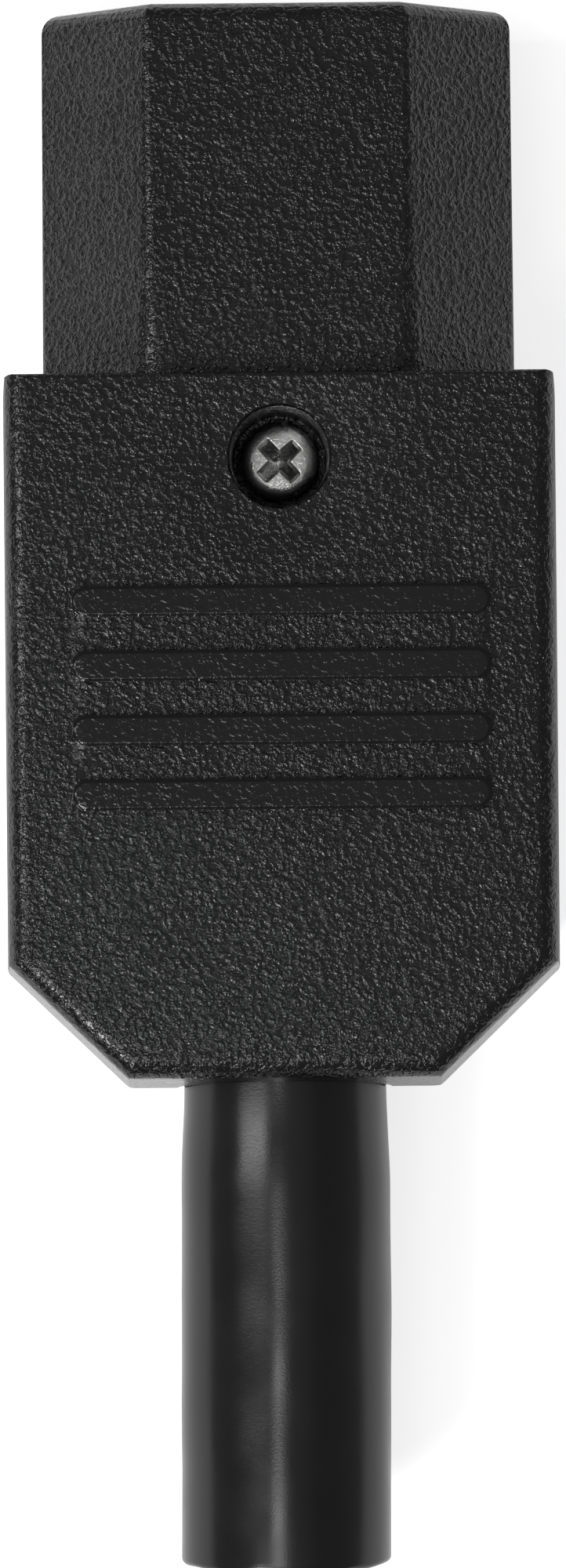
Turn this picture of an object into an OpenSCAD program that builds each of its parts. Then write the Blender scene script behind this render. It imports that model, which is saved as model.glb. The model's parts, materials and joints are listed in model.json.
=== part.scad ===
// Rewireable C13 power connector: two moulded shells held by one recessed
// screw, a six-sided nose block with three contact chambers, screw terminals,
// a cord clamp and a soft sleeve at the tail.
// Local axes: y = 0 is the front face of the housing, z = 0 the parting plane.

/* [Nose] */
// Width of the nose across its side faces
nose_w = 23.9; // [22.6:0.1:24.6]
// Height of the nose between its broad faces
nose_h = 16.3; // [15.4:0.1:16.6]
// Length of the nose in front of the housing
nose_len = 18.6; // [15:0.1:22]
// Size of the two polarising chamfers, measured along each face
nose_chamfer = 5.4; // [4.4:0.1:6]
// Radius of the two corners opposite the chamfers
nose_corner_r = 1.6; // [0.8:0.1:2.4]
// Radius of the ridges between the chamfers and the broad face
nose_ridge_r = 2; // [1:0.1:3]
// Radius of the edges between the chamfers and the side faces
nose_side_r = 1; // [0.5:0.1:1.5]
// Rounding of the edges round the mating face
nose_edge_r = 1; // [0.5:0.1:1.3]
// Draft of the nose faces, in degrees
nose_draft = 0.3; // [0.1:0.1:0.6]
// Depth of the groove that the shells close into
groove_d = 1.1; // [0.8:0.1:1.4]
// Length of the flange behind the front wall
nose_flange = 2.4; // [1.6:0.1:3]

/* [Contacts] */
// Distance of the line and neutral pins from the centre plane
pin_x = 7; // [6.8:0.1:7.4]
// Distance of each pin row from the middle of the nose height
pin_z = 2; // [1.8:0.1:2.3]
// Width of a pin slot
slot_w = 2.5; // [2.2:0.1:2.8]
// Height of a pin slot
slot_h = 4.6; // [4.2:0.1:4.8]
// Thickness of the nose wall in front of the contacts
slot_wall = 2.2; // [1.6:0.1:3]
// Width of a contact chamber
chamber_w = 3.4; // [3.2:0.1:3.6]
// Height of a contact chamber
chamber_h = 5.2; // [5:0.1:5.4]
// Thickness of the contact sheet
contact_t = 0.5; // [0.4:0.05:0.6]
// Height of the contact leaves and of their straps
contact_h = 3.8; // [3:0.1:4]
// Opening between the leaves where they grip a pin
contact_pinch = 1.6; // [1.2:0.1:1.8]
// Distance from the slot wall to the tips of the leaves
contact_inset = 1; // [0.6:0.1:2]
// Length of the sprung part of the leaves
leaf_len = 4; // [3:0.1:6]

/* [Housing] */
// Width of the housing at the parting plane
body_w = 28.2; // [27.6:0.1:30]
// Length of the housing at the parting plane
body_len = 35.95; // [35:0.05:42]
// Height of the housing between its broad faces
body_h = 19.6; // [19.2:0.1:22]
// Thickness of the moulded walls
wall = 1.8; // [1.6:0.1:2]
// Width of the two corners cut off at the tail
tail_cut_w = 6.15; // [4:0.05:6.8]
// Length of the two corners cut off at the tail
tail_cut_len = 5.95; // [4:0.05:7]
// Radius of the corners at both ends of each cut, in plan
tail_corner_r = 1; // [0.4:0.1:2]
// Radius of the corners between sides and cuts on the lower shell, in plan
shell_corner_r = 0.4; // [0.2:0.1:1]
// Distance that the tail wall leans outwards towards the parting plane
tail_flare = 0.95; // [0.4:0.05:1.4]
// Distance that the walls of the two cuts lean outwards
cut_flare = 0.8; // [0.4:0.05:1.4]
// Draft of the side walls, in degrees
side_draft = 2.9; // [0.4:0.1:4]
// Rounding of the long edges of the broad faces
body_edge_r = 1.05; // [0.4:0.05:1.4]
// Rounding of the edges round the front face
front_edge_r = 0.25; // [0.1:0.05:0.5]
// Radius of the front corners in plan
front_corner_r = 0.9; // [0.5:0.1:1.5]
// Height of the locating lip of the cover
lip_h = 1; // [0.6:0.1:1.4]
// Thickness of the locating lip of the cover
lip_t = 0.8; // [0.6:0.1:1]
// Width of the two hooks at the tail of the cover
hook_w = 4; // [3:0.1:5]
// Depth of the hooks below the parting plane
hook_h = 3.2; // [2.6:0.1:4]
// Thickness of the hooks
hook_t = 1.3; // [1:0.1:1.6]
// Reach of the hooks into the wall of the lower shell
hook_catch = 0.5; // [0.3:0.05:0.7]

/* [Grip bars] */
// Number of grip bars on each broad face
bar_count = 4; // [2:1:5]
// Length of a grip bar
bar_len = 20.8; // [14:0.2:23]
// Width of a grip bar
bar_w = 1.55; // [1:0.05:2]
// Distance from bar to bar
bar_pitch = 3.2; // [2.6:0.1:3.6]
// Distance from the front face to the middle of the first bar
bar_start = 11.35; // [10:0.05:13]
// Height of the bars above the face
bar_t = 0.3; // [0.2:0.05:0.5]

/* [Housing screw] */
// Distance of the screw from the front face
screw_y = 4.2; // [4.2:0.1:5]
// Diameter of the mouth of the recess over the screw
recess_d = 5; // [4.7:0.1:5.4]
// Diameter of the recess at its floor
recess_floor_d = 4.65; // [4.4:0.05:4.7]
// Width of the edge break round the mouth
recess_break = 0.25; // [0.1:0.05:0.4]
// Depth of the recess, down to the seat of the screw head
recess_depth = 6.5; // [5:0.1:7]
// Thickness of the wall and the floor of the screw cup
cup_wall = 1; // [0.8:0.1:1.2]
// Diameter of the screw
screw_d = 2.2; // [2:0.1:2.6]
// Length of the screw under its head
screw_len = 9; // [7:0.1:10]
// Diameter of the screw head
screw_head_d = 3.9; // [3.4:0.1:4.2]
// Height of the screw head
screw_head_h = 1.5; // [1.2:0.1:1.8]
// Diameter of the post that takes the screw
post_d = 5; // [4.4:0.1:5.2]

/* [Terminals] */
// Distance from the front face to the line and neutral terminals
terminal_y = 10.6; // [10.4:0.1:11.2]
// Space between the earth terminal and the cord clamp
cord_room = 2.25; // [1.5:0.05:3.5]
// Space between the side terminals and the side walls
terminal_room = 1.55; // [1.2:0.05:2]
// Length of a terminal block
block_len = 6.4; // [6:0.1:6.8]
// Height of a terminal block
block_h = 6; // [5.6:0.1:6.4]
// Diameter of the wire hole
wire_d = 2.8; // [2.4:0.1:3]
// Diameter of a terminal screw
terminal_screw_d = 2.6; // [2.2:0.1:2.8]
// Length of a terminal screw under its head
terminal_screw_len = 3; // [2.4:0.1:4]
// Diameter of a terminal screw head
terminal_head_d = 4.2; // [3.8:0.1:4.4]
// Height of a terminal screw head
terminal_head_h = 1.4; // [1:0.1:1.8]
// Thickness of the walls between the terminals
barrier_t = 0.9; // [0.7:0.05:1]

/* [Cord clamp] */
// Distance from the tail face to the middle of the clamp
clamp_back = 9.95; // [9.6:0.05:10.4]
// Width of the clamp bar along the cord
clamp_len = 4.8; // [4.4:0.1:5.2]
// Space between the clamp and the side walls
clamp_room = 1.3; // [1:0.05:1.6]
// Thickness of the clamp bar
clamp_t = 2; // [1.6:0.1:2.4]
// Diameter of the cord that the clamp closes on
cord_d = 7.6; // [6.4:0.1:8]
// Diameter of the clamp screws
clamp_screw_d = 2.6; // [2.4:0.1:2.9]
// Length of the clamp screws under their heads
clamp_screw_len = 7.4; // [6:0.1:8]
// Diameter of the clamp screw heads
clamp_head_d = 4.6; // [4:0.1:4.8]
// Height of the clamp screw heads
clamp_head_h = 1.6; // [1.2:0.1:2]
// Diameter of the bosses under the clamp
clamp_boss_d = 5.2; // [4.8:0.1:5.4]
// Height of the seat of the clamp below the parting plane
clamp_drop = 1.4; // [1:0.1:2]
// Distance from one cord rib to the next
cord_rib_pitch = 1.5; // [1.3:0.05:1.8]
// Thickness of the cord ribs
cord_rib_t = 0.8; // [0.6:0.05:1]

/* [Sleeve] */
// Diameter of the sleeve
sleeve_d = 10.7; // [9.6:0.1:11.2]
// Diameter of the passage for the cord
sleeve_bore_d = 8.6; // [7.6:0.1:8.8]
// Length of the sleeve behind the housing
sleeve_len = 24.35; // [12:0.05:40]
// Rounding of the free end of the sleeve
sleeve_end_r = 0.3; // [0.1:0.05:0.4]
// Diameter of the flange inside the housing
sleeve_flange_d = 13.2; // [12.6:0.1:13.6]
// Thickness of the flange inside the housing
sleeve_flange_t = 1.6; // [1.2:0.1:1.8]
// Thickness of the walls that keep the flange in place
stop_t = 1.2; // [0.8:0.1:1.4]
// Width of the collar that the flange bears on
collar_t = 1.1; // [0.8:0.1:1.3]

/* [Fits] */
// Clearance between moulded pieces
fit = 0.1; // [0.05:0.01:0.15]
// Clearance round a screw or a contact strap
screw_fit = 0.1; // [0.05:0.01:0.15]
// Distance that ribs and rests keep from the edges of what they carry
rib_inset = 0.4; // [0.3:0.05:0.6]

/* [Hidden] */
$fn = 64;

// Longer than the whole connector, for cuts that run right through
REACH = body_len + sleeve_len + nose_len + body_w;
half_h = body_h / 2;
roof_z = half_h - wall;
frame_y = (body_len + sleeve_len - nose_len) / 2;
frame_z = half_h + bar_t;
tail_draft = atan(tail_flare / half_h);
cut_draft = atan(cut_flare / half_h);
side_flare = half_h * tan(side_draft);
body_drafts = [0, side_draft, cut_draft, tail_draft, cut_draft, side_draft];

// Screw cup of the cover, and the post that it stands on
cup_r = recess_d / 2 + cup_wall;
cup_seat_z = half_h - recess_depth;
cup_end_z = cup_seat_z - cup_wall;

// Contact leaves lie this far from the middle of their pin
leaf_x = chamber_w / 2 - 2 * screw_fit - contact_t;
leaf_tip_y = nose_len - slot_wall - contact_inset;
leaf_back_y = slot_wall / 2;
strap_x = cup_r + 4 * fit + contact_t / 2;
strap_out_y = -screw_y - cup_r - 3 * fit;
notch_w = 2 * (strap_x + contact_t);
// The flange of the nose stays clear of the roof and the walls of the shells
flange_in = max(nose_h / 2 - roof_z, nose_w / 2 - body_w / 2 + wall + side_flare) + 2 * fit;

// Terminal blocks fill the space between their straps and the side walls
strap_in_x = pin_x - leaf_x;
block_w = body_w / 2 - wall - terminal_room - strap_in_x - contact_t / 2;
clamp_y = body_len - clamp_back;
earth_y = clamp_y - clamp_len / 2 - cord_room - block_len;
block_x = strap_in_x + contact_t / 2 + block_w / 2;
earth_strap_x = block_w / 2 + contact_t / 2;
barrier_x = (earth_strap_x + strap_in_x) / 2;
barrier_y = terminal_y + rib_inset;
barrier_end_y = earth_y + block_len + rib_inset;

// Clamp and sleeve
clamp_x = body_w / 2 - wall - clamp_room - clamp_boss_d / 2;
clamp_seat_z = -clamp_drop;
sleeve_seat_y = body_len - tail_flare - wall;
stop_y = sleeve_flange_t + fit - sleeve_seat_y;
collar_d = sleeve_flange_d + 2 * collar_t;

// ---- Outlines ----

// Counter-clockwise, seen from above
body_outline = [
    [body_w / 2, 0], [-body_w / 2, 0],
    [-body_w / 2, tail_cut_len - body_len], [tail_cut_w - body_w / 2, -body_len],
    [body_w / 2 - tail_cut_w, -body_len], [body_w / 2, tail_cut_len - body_len]
];
function body_corners(side_r) = [
    front_corner_r, front_corner_r, side_r, tail_corner_r, tail_corner_r, side_r
];

// Counter-clockwise, with the chamfers towards -y
nose_corners = [nose_corner_r, nose_corner_r, nose_side_r, nose_ridge_r, nose_ridge_r, nose_side_r];
nose_outline = [
    [nose_w / 2, nose_h / 2], [-nose_w / 2, nose_h / 2],
    [-nose_w / 2, nose_chamfer - nose_h / 2], [nose_chamfer - nose_w / 2, -nose_h / 2],
    [nose_w / 2 - nose_chamfer, -nose_h / 2], [nose_w / 2, nose_chamfer - nose_h / 2]
];

function unit(v) = v / norm(v);

// Outward normal of edge i of a counter-clockwise outline
function edge_normal(pts, i) =
    let(d = pts[(i + 1) % len(pts)] - pts[i]) unit([d.y, -d.x]);

// Outline moved inwards by d
function inset(pts, d) = [
    for (i = [0 : len(pts) - 1])
        let(a = edge_normal(pts, (i + len(pts) - 1) % len(pts)), b = edge_normal(pts, i))
            pts[i] - d * (a + b) / (1 + a * b)
];

// Arc of radius r that replaces corner p between its neighbours a and b
function corner_arc(a, p, b, r, steps) =
    let(u = unit(a - p), v = unit(b - p), half = acos(u * v) / 2)
    let(c = p + unit(u + v) * r / sin(half), s = p + u * r / tan(half), e = p + v * r / tan(half))
    let(a0 = atan2(s.y - c.y, s.x - c.x), a1 = atan2(e.y - c.y, e.x - c.x))
    let(sweep = (a1 - a0 + 540) % 360 - 180)
        [for (k = [0 : steps]) c + r * [cos(a0 + sweep * k / steps), sin(a0 + sweep * k / steps)]];

// Outline with each corner rounded by its own radius; 0 leaves it sharp
function rounded(pts, radii, steps = 6) = [
    for (i = [0 : len(pts) - 1])
        each radii[i] == 0 ? [pts[i]]
            : corner_arc(pts[(i + len(pts) - 1) % len(pts)], pts[i], pts[(i + 1) % len(pts)],
                radii[i], steps)
];

// Outline of a flat strip of thickness t along a path
function strip_side(path, off) = [
    for (i = [0 : len(path) - 1])
        let(d0 = unit(path[max(i, 1)] - path[max(i, 1) - 1]))
        let(k = min(i, len(path) - 2), d1 = unit(path[k + 1] - path[k]))
        let(n0 = [d0.y, -d0.x], n1 = [d1.y, -d1.x])
            path[i] + off * (n0 + n1) / (1 + n0 * n1)
];
function reversed(pts) = [for (i = [len(pts) - 1 : -1 : 0]) pts[i]];
function strip(path, t) = concat(strip_side(path, t / 2), reversed(strip_side(path, -t / 2)));

// ---- Shared shapes ----

// Everything up to one leaning wall, with its upper edge rounded
module wall_slab(pts, i, h, draft, r) {
    n = edge_normal(pts, i);
    dist = pts[i] * n;
    profile = [[-REACH, 0], [dist, 0], [dist - h * tan(draft), h], [-REACH, h]];
    rotate([0, 0, atan2(n.y, n.x)])
        rotate([90, 0, 0])
            translate([0, 0, -REACH])
                linear_extrude(2 * REACH)
                    polygon(rounded(profile, [0, 0, r, 0]));
}

// Block on an outline, each wall with its own draft and edge rounding
module moulded_block(pts, corner_r, h, draft, edge_r) {
    intersection() {
        linear_extrude(h)
            polygon(rounded(pts, corner_r));
        intersection_for(i = [0 : len(pts) - 1])
            wall_slab(pts, i, h, draft[i], edge_r[i]);
    }
}

// Upper half of the housing, solid; side_r rounds the corners where the cuts start
module body_half(side_r) {
    moulded_block(body_outline, body_corners(side_r), half_h, body_drafts,
        [front_edge_r, body_edge_r, body_edge_r, body_edge_r, body_edge_r, body_edge_r]);
}

// Space inside the upper half
module cavity_half() {
    translate([0, 0, -fit])
        moulded_block(inset(body_outline, wall), [0, 0, 0, 0, 0, 0], roof_z + fit,
            body_drafts, [0, 0, 0, 0, 0, 0]);
}

// Grip bars on the upper broad face
module grip_bars() {
    bar = [[bar_len, bar_w] / 2, [-bar_len, bar_w] / 2, [-bar_len, -bar_w] / 2, [bar_len, -bar_w] / 2];
    end_r = 0.49 * bar_w;
    for (k = [0 : bar_count - 1])
        translate([0, -bar_start - k * bar_pitch, half_h - bar_t])
            linear_extrude(2 * bar_t)
                polygon(rounded(bar, [end_r, end_r, end_r, end_r]));
}

// Locating lip below the parting plane, grown by a clearance
module lip_ring(grow) {
    translate([0, 0, -lip_h - grow])
        linear_extrude(lip_h + grow + fit)
            difference() {
                polygon(inset(body_outline, wall - lip_t - grow));
                polygon(inset(body_outline, wall + grow));
            }
}

// Groove section of the nose, moved inwards, as a bar along y
module nose_bar(inwards, y0, y1) {
    translate([0, y0, 0])
        rotate([-90, 0, 0])
            linear_extrude(y1 - y0)
                polygon(inset(nose_outline, inwards));
}

// Round bar along y
module y_bar(d, y0, y1) {
    translate([0, y0, 0])
        rotate([-90, 0, 0])
            cylinder(d = d, h = y1 - y0);
}

// Box given by its two corners
module box(a, b) {
    translate(a)
        cube(b - a);
}

// Ring wall that keeps the sleeve flange in place, and the seat behind it
module sleeve_seats() {
    difference() {
        union() {
            y_bar(collar_d, -body_len + wall / 2, -sleeve_seat_y);
            box([-collar_d / 2, stop_y, -half_h + wall / 2],
                [collar_d / 2, stop_y + stop_t, half_h - wall / 2]);
        }
        y_bar(sleeve_bore_d, -sleeve_seat_y, 0);
    }
}

// Middle of edge i of the housing outline: x points outwards, y along the wall
module on_edge(i) {
    n = edge_normal(body_outline, i);
    translate((body_outline[i] + body_outline[i + 1]) / 2)
        rotate([0, 0, atan2(n.y, n.x)])
            children();
}

// Hooks of the cover behind the two cut corners, grown by a clearance
module tail_hooks(grow) {
    half = hook_w / 2 + grow;
    for (i = [2, 4])
        on_edge(i) {
            box([-wall - hook_t, -half, 0], [-wall + hook_catch, half, lip_h]);
            box([-wall - hook_t - grow, -half, -hook_h - grow], [-wall - fit + grow, half, fit]);
            box([-wall - hook_t, -half, -hook_h - grow],
                [-wall + hook_catch + grow, half, lip_h - hook_h + grow]);
        }
}

// Domed screw head with a flat underside at z = 0
module screw_head(d, h) {
    dome_r = d * 0.9;
    intersection() {
        cylinder(d = d, h = h);
        translate([0, 0, h - dome_r])
            sphere(r = dome_r);
    }
}

// Screw with a slotted head, its seat at z = 0
module slotted_screw(d, length, head_d, head_h) {
    difference() {
        screw_head(head_d, head_h);
        translate([0, 0, head_h])
            cube([head_d * 1.2, head_d * 0.16, head_h * 0.9], center = true);
    }
    translate([0, 0, -length])
        cylinder(d = d, h = length + 0.2);
}

// ---- Shells ----

// Lower shell, with the post, bosses, barriers and rests
module bottom_shell() {
    color("#1b1b1c")
        place()
            difference() {
                union() {
                    difference() {
                        mirror([0, 0, 1]) body_half(shell_corner_r);
                        mirror([0, 0, 1]) cavity_half();
                        nose_bar(groove_d - fit, -wall - fit, fit);
                    }
                    mirror([0, 0, 1]) grip_bars();
                    intersection() {
                        mirror([0, 0, 1]) body_half(shell_corner_r);
                        shell_furniture();
                    }
                    translate([0, -screw_y, -roof_z - wall / 2])
                        cylinder(d = post_d, h = cup_end_z + roof_z + wall / 2);
                }
                y_bar(sleeve_d + 2 * fit, -body_len - fit, -sleeve_seat_y);
                y_bar(sleeve_flange_d + 2 * fit, -sleeve_seat_y, stop_y);
                lip_ring(fit);
                tail_hooks(fit);
                translate([0, -screw_y, cup_end_z - screw_len])
                    cylinder(d = screw_d + 2 * screw_fit, h = screw_len + fit);
                for (side = [-1, 1])
                    translate([side * clamp_x, -clamp_y, clamp_seat_z + clamp_t - clamp_screw_len - fit])
                        cylinder(d = clamp_screw_d + 2 * screw_fit, h = clamp_screw_len);
            }
}

// Rests, barriers, bosses and cord ribs on the floor of the lower shell
module shell_furniture() {
    floor_z = -roof_z - wall / 2;
    for (side = [-1, 1]) {
        translate([side * block_x, 0, 0])
            box([-block_w / 2 + rib_inset, -terminal_y - block_len + rib_inset, floor_z],
                [block_w / 2 - rib_inset, -terminal_y - rib_inset, -pin_z - block_h / 2]);
        translate([side * barrier_x, 0, 0])
            box([-barrier_t / 2, -barrier_end_y, floor_z], [barrier_t / 2, -barrier_y, -fit]);
        translate([side * clamp_x, -clamp_y, floor_z])
            cylinder(d = clamp_boss_d, h = clamp_seat_z - floor_z);
    }
    box([-block_w / 2 + rib_inset, -earth_y - block_len + rib_inset, floor_z],
        [block_w / 2 - rib_inset, -earth_y - rib_inset, pin_z - block_h / 2]);
    difference() {
        for (k = [-1, 0, 1])
            translate([0, cord_rib_pitch * k - clamp_y, 0])
                box([-clamp_x, -cord_rib_t / 2, floor_z],
                    [clamp_x, cord_rib_t / 2, clamp_seat_z - rib_inset]);
        y_bar(cord_d, -clamp_y - clamp_len, -clamp_y + clamp_len);
    }
    sleeve_seats();
}

// Upper shell, with the screw cup, the lip, the hooks and the hold-down ribs
module top_cover() {
    color("#1b1b1c")
        place()
            difference() {
                union() {
                    difference() {
                        body_half(tail_corner_r);
                        cavity_half();
                        nose_bar(groove_d - fit, -wall - fit, fit);
                    }
                    grip_bars();
                    intersection() {
                        body_half(tail_corner_r);
                        cover_furniture();
                    }
                    difference() {
                        union() {
                            lip_ring(0);
                            tail_hooks(0);
                        }
                        nose_bar(groove_d - fit, -wall - fit, fit);
                        y_bar(collar_d, -body_len, -sleeve_seat_y + fit);
                    }
                }
                y_bar(sleeve_d + 2 * fit, -body_len - fit, -sleeve_seat_y);
                y_bar(sleeve_flange_d + 2 * fit, -sleeve_seat_y, stop_y);
                translate([0, -screw_y, 0]) {
                    translate([0, 0, cup_seat_z])
                        cylinder(d1 = recess_floor_d, d2 = recess_d, h = recess_depth);
                    translate([0, 0, half_h - recess_break])
                        cylinder(d1 = recess_d - recess_break, d2 = recess_d + 3 * recess_break,
                            h = 2 * recess_break);
                    translate([0, 0, cup_end_z - fit])
                        cylinder(d = screw_d + 2 * screw_fit, h = cup_wall + 2 * fit);
                }
            }
}

// Screw cup, hold-down ribs and sleeve seats under the roof of the cover
module cover_furniture() {
    top_z = roof_z + wall / 2;
    translate([0, -screw_y, cup_end_z])
        cylinder(r = cup_r, h = top_z - cup_end_z);
    for (side = [-1, 1])
        translate([side * block_x, 0, 0])
            box([-block_w / 2 + rib_inset, -terminal_y - barrier_t, block_h / 2 - pin_z + fit],
                [block_w / 2 - rib_inset, -terminal_y, top_z]);
    box([-block_w / 2 + rib_inset, -earth_y - barrier_t, block_h / 2 + pin_z + fit],
        [block_w / 2 - rib_inset, -earth_y, top_z]);
    sleeve_seats();
}

// ---- Nose and contacts ----

// Six-sided nose with its slots, chambers, groove and flange
module nose_block() {
    color("#202021")
        place()
            difference() {
                union() {
                    rotate([-90, 0, 0])
                        moulded_block(nose_outline, nose_corners, nose_len,
                            [for (i = [0 : 5]) nose_draft],
                            [for (i = [0 : 5]) nose_edge_r]);
                    nose_bar(groove_d, -wall - fit, fit);
                    nose_bar(flange_in, -wall - fit - nose_flange, -wall - fit);
                }
                for (pin = [[-pin_x, -pin_z], [pin_x, -pin_z], [0, pin_z]])
                    translate([pin.x, 0, pin.y]) {
                        box([-slot_w / 2, 0, -slot_h / 2], [slot_w / 2, nose_len + fit, slot_h / 2]);
                        box([-chamber_w / 2, -REACH, -chamber_h / 2],
                            [chamber_w / 2, nose_len - slot_wall, chamber_h / 2]);
                    }
                box([-notch_w / 2, -REACH, -pin_z / 4 - fit], [notch_w / 2, 0, REACH]);
                translate([0, -screw_y, -REACH / 2])
                    cylinder(d = post_d + 4 * fit, h = REACH);
                box([-post_d / 2 - 2 * fit, -REACH, -REACH / 2], [post_d / 2 + 2 * fit, -screw_y, 0]);
            }
}

// Leaf of a contact on one side of its pin, in plan
function leaf_path(side) = [
    [side * (leaf_x + fit), leaf_tip_y],
    [side * (contact_pinch / 2 + contact_t / 2), leaf_tip_y - leaf_len / 3],
    [side * leaf_x, leaf_tip_y - leaf_len],
    [side * leaf_x, leaf_back_y]
];

// Folded contact: two leaves, a web between them and a strap going back from
// the leaf on the given side
module contact(side, strap_path) {
    translate([0, 0, -contact_h / 2]) {
        linear_extrude(contact_h) {
            polygon(strip(concat(leaf_path(side), strap_path), contact_t));
            polygon(strip(leaf_path(-side), contact_t));
        }
        box([-leaf_x, leaf_back_y, 0], [leaf_x, leaf_tip_y - leaf_len - contact_t, contact_t]);
    }
}

// Contact of the line or neutral pin, with a straight strap beside its terminal
module side_contact(side) {
    color("#c9a94f")
        place()
            translate([side * pin_x, 0, -pin_z])
                contact(-side, [[-side * leaf_x, -terminal_y - block_len]]);
}

module line_contact() {
    side_contact(-1);
}

module neutral_contact() {
    side_contact(1);
}

// Earth contact: its strap goes round the screw cup to the middle terminal
module earth_contact() {
    color("#c9a94f")
        place()
            translate([0, 0, pin_z])
                contact(1, [
                    [leaf_x, 2 * fit], [strap_x, cup_r / 2 - screw_y],
                    [strap_x, strap_out_y], [earth_strap_x, strap_out_y - cup_r / 2],
                    [earth_strap_x, -earth_y - block_len]
                ]);
}

// ---- Terminals ----

// Terminal block with its wire hole and screw hole; its front is at y = 0
module terminal_block() {
    color("#d0b255")
        difference() {
            box([-block_w / 2, -block_len, -block_h / 2], [block_w / 2, 0, block_h / 2]);
            translate([0, 0, -block_h * 0.1])
                y_bar(wire_d, -block_len - fit, fit);
            translate([0, -block_len / 2, 0])
                cylinder(d = terminal_screw_d + 2 * screw_fit, h = block_h / 2 + fit);
        }
}

module line_terminal() {
    place()
        translate([-block_x, -terminal_y, -pin_z])
            terminal_block();
}

module neutral_terminal() {
    place()
        translate([block_x, -terminal_y, -pin_z])
            terminal_block();
}

module earth_terminal() {
    place()
        translate([0, -earth_y, pin_z])
            terminal_block();
}

// The three slotted terminal screws
module terminal_screws() {
    color("#c8c9c6")
        place()
            for (p = [[-block_x, -terminal_y, -pin_z], [block_x, -terminal_y, -pin_z], [0, -earth_y, pin_z]])
                translate([p.x, p.y - block_len / 2, p.z + block_h / 2])
                    slotted_screw(terminal_screw_d, terminal_screw_len, terminal_head_d, terminal_head_h);
}

// ---- Cord clamp ----

// Arched bar that presses the cord onto the ribs of the lower shell
module cord_clamp() {
    half_w = clamp_x + clamp_boss_d / 2;
    color("#2a2a2b")
        place()
            difference() {
                translate([0, -clamp_y + clamp_len / 2, 0])
                    rotate([90, 0, 0])
                        linear_extrude(clamp_len)
                            difference() {
                                union() {
                                    translate([-half_w, clamp_seat_z])
                                        square([2 * half_w, clamp_t]);
                                    circle(d = cord_d + 2 * clamp_t);
                                }
                                circle(d = cord_d);
                                translate([-half_w, clamp_seat_z - cord_d])
                                    square([2 * half_w, cord_d]);
                            }
                for (side = [-1, 1])
                    translate([side * clamp_x, -clamp_y, clamp_seat_z]) {
                        translate([0, 0, -fit])
                            cylinder(d = clamp_screw_d + 2 * screw_fit, h = clamp_t + 2 * fit);
                        translate([0, 0, clamp_t])
                            cylinder(d = clamp_head_d + 2 * screw_fit, h = cord_d);
                    }
            }
}

// The two screws of the cord clamp
module clamp_screws() {
    color("#c8c9c6")
        place()
            for (side = [-1, 1])
                translate([side * clamp_x, -clamp_y, clamp_seat_z + clamp_t])
                    slotted_screw(clamp_screw_d, clamp_screw_len, clamp_head_d, clamp_head_h);
}

// ---- Housing screw ----

// Pan-head screw with a cross recess, down in the cup of the cover
module housing_screw() {
    arm_w = screw_head_d * 0.15;
    color("#b9bbba")
        place()
            translate([0, -screw_y, cup_seat_z]) {
                difference() {
                    screw_head(screw_head_d, screw_head_h);
                    for (turn = [45, -45])
                        translate([0, 0, screw_head_h])
                            rotate([0, 0, turn])
                                cube([screw_head_d * 0.62, arm_w, screw_head_h * 1.2], center = true);
                }
                translate([0, 0, -screw_len])
                    cylinder(d = screw_d, h = screw_len + 0.1);
            }
}

// ---- Sleeve ----

// Soft sleeve that keeps the cord from kinking, with its inner flange
module cable_sleeve() {
    r = sleeve_d / 2;
    tail_y = -body_len - sleeve_len;
    profile = [
        [sleeve_bore_d / 2, 0], [r - sleeve_end_r, 0], [r, sleeve_end_r],
        [r, -sleeve_seat_y - tail_y], [sleeve_flange_d / 2, -sleeve_seat_y - tail_y],
        [sleeve_flange_d / 2, -sleeve_seat_y + sleeve_flange_t - tail_y],
        [sleeve_bore_d / 2, -sleeve_seat_y + sleeve_flange_t - tail_y]
    ];
    color("#262627")
        place()
            translate([0, tail_y, 0])
                rotate([-90, 0, 0])
                    rotate_extrude()
                        polygon(profile);
}

// From the local axes to the frame: resting on the lower grip bars, centred
module place() {
    translate([0, frame_y, frame_z])
        children();
}

bottom_shell();
top_cover();
nose_block();
line_contact();
neutral_contact();
earth_contact();
line_terminal();
neutral_terminal();
earth_terminal();
terminal_screws();
cord_clamp();
clamp_screws();
housing_screw();
cable_sleeve();
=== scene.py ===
"""C13 power connector: finishes, fine shapes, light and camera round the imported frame."""

import json
import math

import bpy
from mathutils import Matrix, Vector, noise


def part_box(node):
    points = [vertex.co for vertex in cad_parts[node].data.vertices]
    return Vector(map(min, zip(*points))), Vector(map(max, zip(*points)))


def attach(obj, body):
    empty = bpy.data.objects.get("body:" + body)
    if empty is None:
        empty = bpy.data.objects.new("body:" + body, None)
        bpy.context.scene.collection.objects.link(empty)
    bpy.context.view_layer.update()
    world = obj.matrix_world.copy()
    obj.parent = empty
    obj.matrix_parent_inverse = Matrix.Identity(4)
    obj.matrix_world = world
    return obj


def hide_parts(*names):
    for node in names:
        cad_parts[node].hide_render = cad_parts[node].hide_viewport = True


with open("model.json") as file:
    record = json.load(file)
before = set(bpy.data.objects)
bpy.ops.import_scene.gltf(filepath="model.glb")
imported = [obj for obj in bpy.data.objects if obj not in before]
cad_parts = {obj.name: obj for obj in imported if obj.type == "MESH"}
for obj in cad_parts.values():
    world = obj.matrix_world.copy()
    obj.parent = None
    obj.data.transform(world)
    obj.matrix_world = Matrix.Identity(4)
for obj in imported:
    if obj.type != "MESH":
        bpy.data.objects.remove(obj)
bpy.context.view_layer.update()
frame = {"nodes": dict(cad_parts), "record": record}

MM = 0.001

# ---- Places worked out from the frame ----

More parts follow.
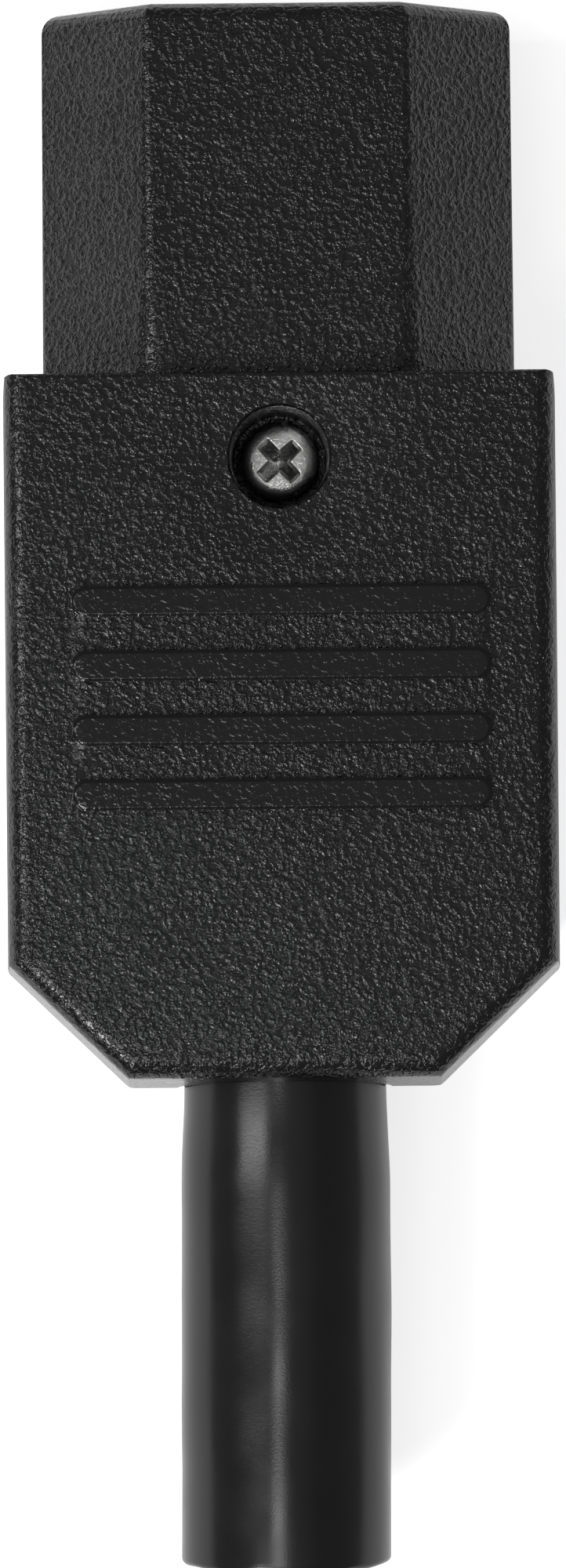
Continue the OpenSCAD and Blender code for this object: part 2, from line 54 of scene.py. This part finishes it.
cover_lo, cover_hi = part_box("top_cover")
shell_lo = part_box("bottom_shell")[0]
sleeve_lo, sleeve_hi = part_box("cable_sleeve")
screw_lo, screw_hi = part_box("housing_screw")

FRONT_Y = cover_hi.y
TAIL_Y = cover_lo.y
MID_Z = (cover_hi.z + shell_lo.z) / 2
SCREW_AXIS = Vector(((screw_lo.x + screw_hi.x) / 2, (screw_lo.y + screw_hi.y) / 2, 0))

# Sizes that the part's source has too: the grip bars and the sleeve
BAR_T = 0.3 * MM
BAR_LEN = 20.8 * MM
BAR_W = 1.55 * MM
BAR_PITCH = 3.2 * MM
BAR_START = 11.35 * MM
FACE_Z = cover_hi.z - BAR_T
SLEEVE_D = 10.7 * MM
SLEEVE_BORE = 8.6 * MM
FLANGE_T = 1.6 * MM

# Sizes of the finish alone
GRAIN = 0.3 * MM
BAR_EDGE_SINK = 0.06 * MM
DISH_SINK = 0.12 * MM
DISH_INNER_R = 2.2 * MM
DISH_OUTER_R = 6.5 * MM

# Points round each made piece
ROUND = 128


# ---- Node helpers ----

def new_material(name):
    """A material with an empty tree, its Principled shader and its output."""
    material = bpy.data.materials.new(name)
    material.use_nodes = True
    tree = material.node_tree
    tree.nodes.clear()
    output = tree.nodes.new("ShaderNodeOutputMaterial")
    shader = tree.nodes.new("ShaderNodeBsdfPrincipled")
    tree.links.new(shader.outputs["BSDF"], output.inputs["Surface"])
    return material, tree, shader


def add(tree, kind, inputs=None, **settings):
    """A new node with its settings, and its inputs set or linked."""
    node = tree.nodes.new(kind)
    for key, value in settings.items():
        setattr(node, key, value)
    for key, value in (inputs or {}).items():
        socket = node.inputs[key]
        if isinstance(value, bpy.types.NodeSocket):
            tree.links.new(value, socket)
        else:
            socket.default_value = value
    return node


def math_node(tree, operation, a, b=0.0):
    """A Math node's output."""
    return add(tree, "ShaderNodeMath", {0: a, 1: b}, operation=operation).outputs[0]


def smooth_step(tree, value, low, high, out_low=0.0, out_high=1.0):
    """value mapped smoothly from [low, high] to [out_low, out_high]."""
    node = add(tree, "ShaderNodeMapRange", {
        "Value": value, "From Min": low, "From Max": high,
        "To Min": out_low, "To Max": out_high,
    }, interpolation_type="SMOOTHSTEP")
    return node.outputs["Result"]


def noise_node(tree, vector, size, detail=2.0, rough=0.5, distort=0.0):
    """Noise whose features are about size metres across."""
    node = add(tree, "ShaderNodeTexNoise", {
        "Vector": vector, "Scale": 1.0 / size, "Detail": detail,
        "Roughness": rough, "Distortion": distort,
    })
    return node.outputs["Fac"]


def two_tone(tree, fac, dark, light):
    """A colour between two greys or tints."""
    node = add(tree, "ShaderNodeMix", data_type="RGBA")
    tree.links.new(fac, node.inputs["Factor"])
    node.inputs["A"].default_value = (*dark, 1.0)
    node.inputs["B"].default_value = (*light, 1.0)
    return node.outputs["Result"]


# ---- Materials ----

def grain_height(tree, place, size, sharp=0.12):
    """Leathery grain: low flat-topped bumps with short steep flanks, and a finer skin."""
    cells = noise_node(tree, place, size, detail=2.0, rough=0.5, distort=0.3)
    patches = noise_node(tree, place, 9 * size, detail=2.0)
    skin = noise_node(tree, place, 0.3 * size, detail=1.0)
    level = math_node(tree, "ADD", cells, math_node(tree, "MULTIPLY", patches, 0.05))
    bumps = smooth_step(tree, level, 0.56 - sharp, 0.56 + sharp)
    return math_node(tree, "ADD", bumps, math_node(tree, "MULTIPLY", skin, 0.35))


def on_grip_bars(tree, place_z):
    """1 on the grip bars of both broad faces, 0 between them."""
    over_top = smooth_step(tree, place_z, FACE_Z + 0.3 * BAR_T, FACE_Z + 0.7 * BAR_T)
    low_z = shell_lo.z + BAR_T
    under = smooth_step(tree, place_z, low_z - 0.7 * BAR_T, low_z - 0.3 * BAR_T, 1.0, 0.0)
    return math_node(tree, "MAXIMUM", over_top, under)


def bar_edge_fall(tree, place, depth):
    """Height, in bump depths, that rounds the edges of the grip bars."""
    from_middle = math_node(tree, "ABSOLUTE", place.outputs["X"])
    past_end = math_node(tree, "SUBTRACT", from_middle, BAR_LEN / 2 - BAR_W / 2)
    past_end = math_node(tree, "MAXIMUM", past_end, 0.0)
    along = math_node(tree, "SUBTRACT", FRONT_Y - BAR_START + BAR_PITCH / 2, place.outputs["Y"])
    nearest = math_node(tree, "FLOORED_MODULO", along, BAR_PITCH)
    aside = math_node(tree, "SUBTRACT", nearest, BAR_PITCH / 2)
    from_spine = add(tree, "ShaderNodeVectorMath", {
        0: add(tree, "ShaderNodeCombineXYZ", {"X": past_end, "Y": aside}).outputs[0],
    }, operation="LENGTH").outputs["Value"]
    return smooth_step(tree, from_spine, BAR_W / 2 - 0.2 * MM, BAR_W / 2 + 0.03 * MM,
                       0.0, -BAR_EDGE_SINK / depth)


def screw_dish(tree, place, depth):
    """Height, in bump depths, of the shallow dish round the screw recess."""
    flat_place = add(tree, "ShaderNodeCombineXYZ", {
        "X": place.outputs["X"], "Y": place.outputs["Y"],
    }).outputs[0]
    reach = add(tree, "ShaderNodeVectorMath", {
        0: flat_place, 1: (SCREW_AXIS.x, SCREW_AXIS.y, 0),
    }, operation="DISTANCE").outputs["Value"]
    return smooth_step(tree, reach, DISH_INNER_R, DISH_OUTER_R, -DISH_SINK / depth, 0.0)


def grained_plastic(name, tone, depth=0.034 * MM, housing=False):
    """Black moulded plastic with a spark-eroded grain, deeper and duller on steep side walls.

    On the housing the grip bars are smoother, with rounded edges, and the face dips at the screw.
    """
    material, tree, shader = new_material(name)
    coordinates = add(tree, "ShaderNodeTexCoord").outputs["Object"]
    place = add(tree, "ShaderNodeSeparateXYZ", {0: coordinates})
    cloud = noise_node(tree, coordinates, 5 * MM, detail=3.0)
    amount = smooth_step(tree, cloud, 0.35, 0.65, 0.8, 1.15)
    if housing:
        on_bars = on_grip_bars(tree, place.outputs["Z"])
        amount = math_node(tree, "MULTIPLY", amount, smooth_step(tree, on_bars, 0, 1, 1.0, 0.25))
    facing = add(tree, "ShaderNodeSeparateXYZ", {0: add(tree, "ShaderNodeNewGeometry").outputs["Normal"]})
    sideways = math_node(tree, "ABSOLUTE", facing.outputs["X"])
    amount = math_node(tree, "MULTIPLY", amount, smooth_step(tree, sideways, 0.85, 0.99, 1.0, 1.8))
    height = math_node(tree, "MULTIPLY", grain_height(tree, coordinates, GRAIN), amount)
    if housing:
        edges = math_node(tree, "MULTIPLY", bar_edge_fall(tree, place, depth), on_bars)
        height = math_node(tree, "ADD", height, edges)
        height = math_node(tree, "ADD", height, screw_dish(tree, place, depth))
    bump = add(tree, "ShaderNodeBump", {
        "Strength": 1.0, "Distance": depth, "Height": height,
    })
    tree.links.new(bump.outputs["Normal"], shader.inputs["Normal"])
    tree.links.new(
        two_tone(tree, cloud, [c * 0.85 for c in tone], [c * 1.15 for c in tone]),
        shader.inputs["Base Color"])
    tree.links.new(smooth_step(tree, sideways, 0.8, 0.99, 0.15, 0.4), shader.inputs["Roughness"])
    shader.inputs["IOR"].default_value = 1.5
    return material


def soft_sleeve(name):
    """Soft black sleeve: nearly smooth, with faint flow marks along it."""
    material, tree, shader = new_material(name)
    place = add(tree, "ShaderNodeTexCoord").outputs["Object"]
    stretched = add(tree, "ShaderNodeMapping", {
        "Vector": place, "Scale": (1.0, 0.12, 1.0),
    }).outputs["Vector"]
    flow = noise_node(tree, stretched, 0.5 * MM, detail=2.0)
    skin = noise_node(tree, place, 0.09 * MM, detail=2.0)
    cloud = noise_node(tree, place, 2.5 * MM, detail=2.0)
    height = math_node(tree, "ADD", math_node(tree, "MULTIPLY", flow, 0.5), skin)
    bump = add(tree, "ShaderNodeBump", {
        "Strength": 0.6, "Distance": 0.008 * MM, "Height": height,
    })
    tree.links.new(bump.outputs["Normal"], shader.inputs["Normal"])
    tree.links.new(
        two_tone(tree, cloud, (0.0055, 0.0055, 0.0057), (0.0085, 0.0085, 0.0088)),
        shader.inputs["Base Color"])
    tree.links.new(smooth_step(tree, cloud, 0.3, 0.7, 0.2, 0.25), shader.inputs["Roughness"])
    shader.inputs["IOR"].default_value = 1.5
    return material


def metal(name, dark, light, rough_low, rough_high, scratch=0.004):
    """Plated or rolled metal with a fine uneven finish."""
    material, tree, shader = new_material(name)
    place = add(tree, "ShaderNodeTexCoord").outputs["Object"]
    patches = noise_node(tree, place, 0.6 * MM, detail=4.0, rough=0.6)
    marks = noise_node(tree, place, 0.12 * MM, detail=3.0, distort=1.5)
    bump = add(tree, "ShaderNodeBump", {
        "Strength": 1.0, "Distance": scratch * MM, "Height": marks,
    })
    tree.links.new(bump.outputs["Normal"], shader.inputs["Normal"])
    tree.links.new(two_tone(tree, patches, dark, light), shader.inputs["Base Color"])
    tree.links.new(smooth_step(tree, patches, 0.35, 0.65, rough_low, rough_high),
                   shader.inputs["Roughness"])
    shader.inputs["Metallic"].default_value = 1.0
    return material


shell_plastic = grained_plastic("shell_plastic", (0.0055, 0.0055, 0.0057), housing=True)
nose_plastic = grained_plastic("nose_plastic", (0.0055, 0.0055, 0.0057), depth=0.042 * MM)
clamp_plastic = grained_plastic("clamp_plastic", (0.02, 0.02, 0.0205))
sleeve_rubber = soft_sleeve("sleeve_rubber")
contact_brass = metal("contact_brass", (0.62, 0.44, 0.17), (0.78, 0.6, 0.28), 0.22, 0.36)
plated_steel = metal("plated_steel", (0.7, 0.7, 0.69), (0.95, 0.95, 0.94), 0.08, 0.2, scratch=0.012)

SLOT_MATERIALS = {
    "shell_plastic": shell_plastic, "nose_plastic": nose_plastic,
    "clamp_plastic": clamp_plastic, "sleeve_rubber": sleeve_rubber,
    "contact_brass": contact_brass, "plated_steel": plated_steel,
}


def give_material(obj, material):
    """The one material of an object."""
    obj.data.materials.clear()
    obj.data.materials.append(material)


# ---- CAD pieces that keep their shape ----

def soften(obj, width, segments=3):
    """Small worn edges and even shading on a CAD piece, by modifiers alone."""
    weld = obj.modifiers.new("weld", "WELD")
    weld.merge_threshold = 0.001 * MM
    bevel = obj.modifiers.new("edges", "BEVEL")
    bevel.width = width
    bevel.segments = segments
    bevel.limit_method = "ANGLE"
    bevel.angle_limit = math.radians(28)
    bevel.use_clamp_overlap = True
    even = obj.modifiers.new("even shading", "WEIGHTED_NORMAL")
    even.mode = "FACE_AREA"
    even.weight = 100
    for polygon in obj.data.polygons:
        polygon.use_smooth = True


EDGE_WIDTH = {
    "top_cover": 0.12 * MM, "bottom_shell": 0.12 * MM, "nose_block": 0.12 * MM,
    "cord_clamp": 0.12 * MM,
}
slot_of = {s["node"]: s["material_slot"] for s in frame["record"]["subparts"]}
for node_name, node_object in frame["nodes"].items():
    give_material(node_object, SLOT_MATERIALS[slot_of[node_name]])
    soften(node_object, EDGE_WIDTH.get(node_name, 0.05 * MM))


# ---- Pieces made here ----

def smooth(value, low, high):
    """0 below low, 1 above high, and an even S-curve between them."""
    t = max(0.0, min(1.0, (value - low) / (high - low)))
    return t * t * (3 - 2 * t)


def mesh_object(name, verts, faces, material, node):
    """A smooth-shaded mesh that stands for a CAD node."""
    mesh = bpy.data.meshes.new(name)
    mesh.from_pydata(verts, [], faces)
    mesh.update()
    mesh.shade_smooth()
    obj = bpy.data.objects.new(name, mesh)
    bpy.context.scene.collection.objects.link(obj)
    give_material(obj, material)
    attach(obj, "root")
    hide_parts(node)
    return obj


def ring_faces(rows, count, closed=False):
    """Quads between rows of count points round a loop; closed joins the last row to the first."""
    faces = []
    spans = rows if closed else rows - 1
    for r in range(spans):
        q = (r + 1) % rows
        for k in range(count):
            m = (k + 1) % count
            faces.append((r * count + k, r * count + m, q * count + m, q * count + k))
    return faces


def make_sleeve():
    """Soft sleeve: slightly uneven, narrower at the housing, with a rough-cut free end."""
    bore = SLEEVE_BORE / 2
    flange = (sleeve_hi.x - sleeve_lo.x) / 2
    length = sleeve_hi.y - sleeve_lo.y
    seat = length - FLANGE_T
    outer = SLEEVE_D / 2
    end_r = 0.35 * MM
    small = 0.15 * MM
    neck_in = 0.19 * MM
    lean_out = 0.14 * MM
    wave_out = 0.05 * MM
    ragged_in = 0.16 * MM
    ragged_len = 1.0 * MM
    wall_rows = 72
    rows = [(end_r * (1 - math.cos(a)), outer - end_r * (1 - math.sin(a)), True)
            for a in (math.radians(15 * k) for k in range(7))]
    rows += [(end_r + (seat - end_r) * k / wall_rows, outer, True) for k in range(1, wall_rows)]
    rows += [(seat, outer, False), (seat, flange - small, False), (seat + small, flange, False),
             (length - small, flange, False), (length, flange - small, False),
             (length, bore + small, False), (length - small, bore, False)]
    rows += [(length - small + (end_r - length + small) * k / wall_rows, bore, False)
             for k in range(1, wall_rows + 1)]
    rows += [(0.3 * end_r, bore + 0.3 * end_r, True), (0, bore + end_r, True)]
    free = TAIL_Y - sleeve_lo.y
    verts = []
    for y, radius, soft in rows:
        out = (free - y) / MM  # millimetres out of the housing
        swell = 0.0
        if soft:
            swell = -neck_in * (1 - smooth(out, 0, 5.0))
        lean = -lean_out * max(0.0, out / 24.0) ** 1.6
        for k in range(ROUND):
            a = 2 * math.pi * k / ROUND
            way = Vector((math.cos(a), 0, math.sin(a)))
            wave = noise.noise(Vector((way.x * 1.3, out * 0.2, way.z * 1.3)))
            r = radius + swell + (wave_out * wave * smooth(out, 1.0, 4.0) if soft else 0.0)
            cut = 0.0
            if y < ragged_len:
                ragged = 0.5 + 0.5 * noise.noise(way * 2.6 + Vector((7, 0, 3)))
                cut = ragged_in * ragged * (1 - y / ragged_len)
            verts.append((way.x * r + lean, sleeve_lo.y + y + cut, MID_Z + way.z * r))
    faces = ring_faces(len(rows), ROUND, closed=True)
    return mesh_object("cable_sleeve_soft", verts, faces, sleeve_rubber, "cable_sleeve")


def make_cover_screw():
    """Pan-head screw with a cross recess, its shank down in the post."""
    head_r = (screw_hi.x - screw_lo.x) / 2
    top = screw_hi.z
    head_h = 1.5 * MM
    head_dome = 0.32 * MM
    head_edge = 0.08 * MM
    shank_r = 1.1 * MM
    tip_r = 0.3 * MM
    rings = 44
    arm_turn = math.radians(43)
    arm_reach = 1.22 * MM
    recess_wall = 0.1 * MM
    recess_middle_r = 0.52 * MM

    def recess(x, y):
        """Depth of the cross recess at a place on the head."""
        c, s = math.cos(arm_turn), math.sin(arm_turn)
        u, v = abs(x * c + y * s), abs(y * c - x * s)
        reach, across = max(u, v), min(u, v)
        arm_half = 0.23 * MM + 0.05 * MM * (1 - reach / (1.25 * MM))
        side = max(0.0, min(1.0, (arm_half + recess_wall - across) / recess_wall))
        end = max(0.0, min(1.0, (arm_reach - reach) / recess_wall))
        middle = max(0.0, min(1.0, (recess_middle_r - math.hypot(x, y)) / recess_wall))
        depth = (0.35 + 0.6 * (1 - min(1.0, reach / arm_reach))) * MM
        return depth * max(min(side, end), middle)

    def ring_places(r):
        """The ROUND places of a ring of radius r, measured from the screw's axis."""
        turns = [2 * math.pi * k / ROUND for k in range(ROUND)]
        return [(r * math.cos(a), r * math.sin(a)) for a in turns]

    verts = [(SCREW_AXIS.x, SCREW_AXIS.y, top - recess(0, 0))]
    for i in range(1, rings + 1):
        r = head_r * (i / rings) ** 0.9
        dome = head_dome * (r / head_r) ** 7
        verts += [(SCREW_AXIS.x + x, SCREW_AXIS.y + y, top - dome - recess(x, y))
                  for x, y in ring_places(r)]
    below = [(head_r, top - head_h + head_edge), (head_r - head_edge, top - head_h),
             (shank_r, top - head_h), (shank_r, screw_lo.z + tip_r), (tip_r, screw_lo.z)]
    for r, z in below:
        verts += [(SCREW_AXIS.x + x, SCREW_AXIS.y + y, z) for x, y in ring_places(r)]
    rows = rings + len(below)
    faces = [(0, 1 + k, 1 + (k + 1) % ROUND) for k in range(ROUND)]
    faces += [tuple(1 + index for index in quad[::-1]) for quad in ring_faces(rows, ROUND)]
    last = 1 + (rows - 1) * ROUND
    faces.append(tuple(last + k for k in range(ROUND))[::-1])
    return mesh_object("cover_screw", verts, faces, plated_steel, "housing_screw")


make_sleeve()
make_cover_screw()


# ---- Floor, light and camera ----

def make_floor():
    """Plain white floor that keeps the shadow, with a glow for the camera and a weaker one in gloss."""
    half = 1.5
    camera_glow = 0.75
    gloss_glow = 0.4
    mesh = bpy.data.meshes.new("floor")
    mesh.from_pydata([(-half, -half, 0), (half, -half, 0), (half, half, 0), (-half, half, 0)],
                     [], [(0, 1, 2, 3)])
    floor = bpy.data.objects.new("floor", mesh)
    bpy.context.scene.collection.objects.link(floor)
    material = bpy.data.materials.new("floor_white")
    material.use_nodes = True
    tree = material.node_tree
    tree.nodes.clear()
    rays = add(tree, "ShaderNodeLightPath")
    mirrored = math_node(tree, "MAXIMUM", rays.outputs["Is Glossy Ray"],
                         rays.outputs["Is Transmission Ray"])
    seen = math_node(tree, "MAXIMUM",
                     math_node(tree, "MULTIPLY", rays.outputs["Is Camera Ray"], camera_glow),
                     math_node(tree, "MULTIPLY", mirrored, gloss_glow))
    diffuse = add(tree, "ShaderNodeBsdfDiffuse", {"Color": (0.85, 0.85, 0.85, 1)})
    glow = add(tree, "ShaderNodeEmission", {"Color": (1, 1, 1, 1), "Strength": seen})
    both = add(tree, "ShaderNodeAddShader", {0: diffuse.outputs[0], 1: glow.outputs[0]})
    output = add(tree, "ShaderNodeOutputMaterial")
    tree.links.new(both.outputs[0], output.inputs["Surface"])
    give_material(floor, material)


def make_world():
    """Soft surroundings, brightest overhead and dimmer halfway down.

    Near the horizon they are brighter again, except on the tail's side, where they are darkest.
    """
    halfway = 0.17
    world = bpy.data.worlds.new("studio")
    world.use_nodes = True
    bpy.context.scene.world = world
    tree = world.node_tree
    tree.nodes.clear()
    way = add(tree, "ShaderNodeSeparateXYZ", {0: add(tree, "ShaderNodeTexCoord").outputs["Generated"]})
    horizon = smooth_step(tree, way.outputs["Y"], -0.8, -0.25, 0.12, 0.26)
    share = smooth_step(tree, way.outputs["Z"], 0.05, 0.7, 1.0, 0.0)
    overhead = smooth_step(tree, way.outputs["Z"], 0.8, 0.97, halfway, 0.3)
    extra = math_node(tree, "MULTIPLY", math_node(tree, "SUBTRACT", horizon, halfway), share)
    level = math_node(tree, "ADD", overhead, extra)
    background = add(tree, "ShaderNodeBackground", {"Color": (1, 1, 1, 1), "Strength": level})
    output = add(tree, "ShaderNodeOutputWorld")
    tree.links.new(background.outputs[0], output.inputs["Surface"])


def area_light(name, direction, distance, size, power):
    """A soft rectangular light that points at the housing."""
    data = bpy.data.lights.new(name, "AREA")
    data.shape = "RECTANGLE"
    data.size, data.size_y = size
    data.energy = power
    light = bpy.data.objects.new(name, data)
    bpy.context.scene.collection.objects.link(light)
    target = Vector((0, 0, MID_Z))
    light.location = target + Vector(direction).normalized() * distance
    light.rotation_mode = "QUATERNION"
    light.rotation_quaternion = (target - light.location).to_track_quat("-Z", "Y")


def make_camera():
    """Looks straight down on the broad face, from 324 mm above it, with the nose up."""
    data = bpy.data.cameras.new("camera")
    above_face = 324 * MM
    behind_front = 20.47 * MM
    aside = 0.03 * MM
    roll = math.radians(-0.53)
    data.sensor_width = 36
    data.lens = 150
    camera = bpy.data.objects.new("camera", data)
    bpy.context.scene.collection.objects.link(camera)
    camera.location = (aside, FRONT_Y - behind_front, FACE_Z + above_face)
    camera.rotation_euler = (0, 0, roll)
    data.clip_start, data.clip_end = 0.01, 10
    bpy.context.scene.camera = camera


make_floor()
make_world()
area_light("key", (-0.4, -0.52, 0.8), 0.6, (0.16, 0.14), 1.25)
area_light("top", (-0.14, -0.24, 0.96), 0.6, (0.12, 0.12), 0.3)
area_light("side", (-0.6, 0.05, 0.8), 0.6, (0.06, 0.32), 0.6)
make_camera()

bpy.context.scene.view_settings.view_transform = "Standard"
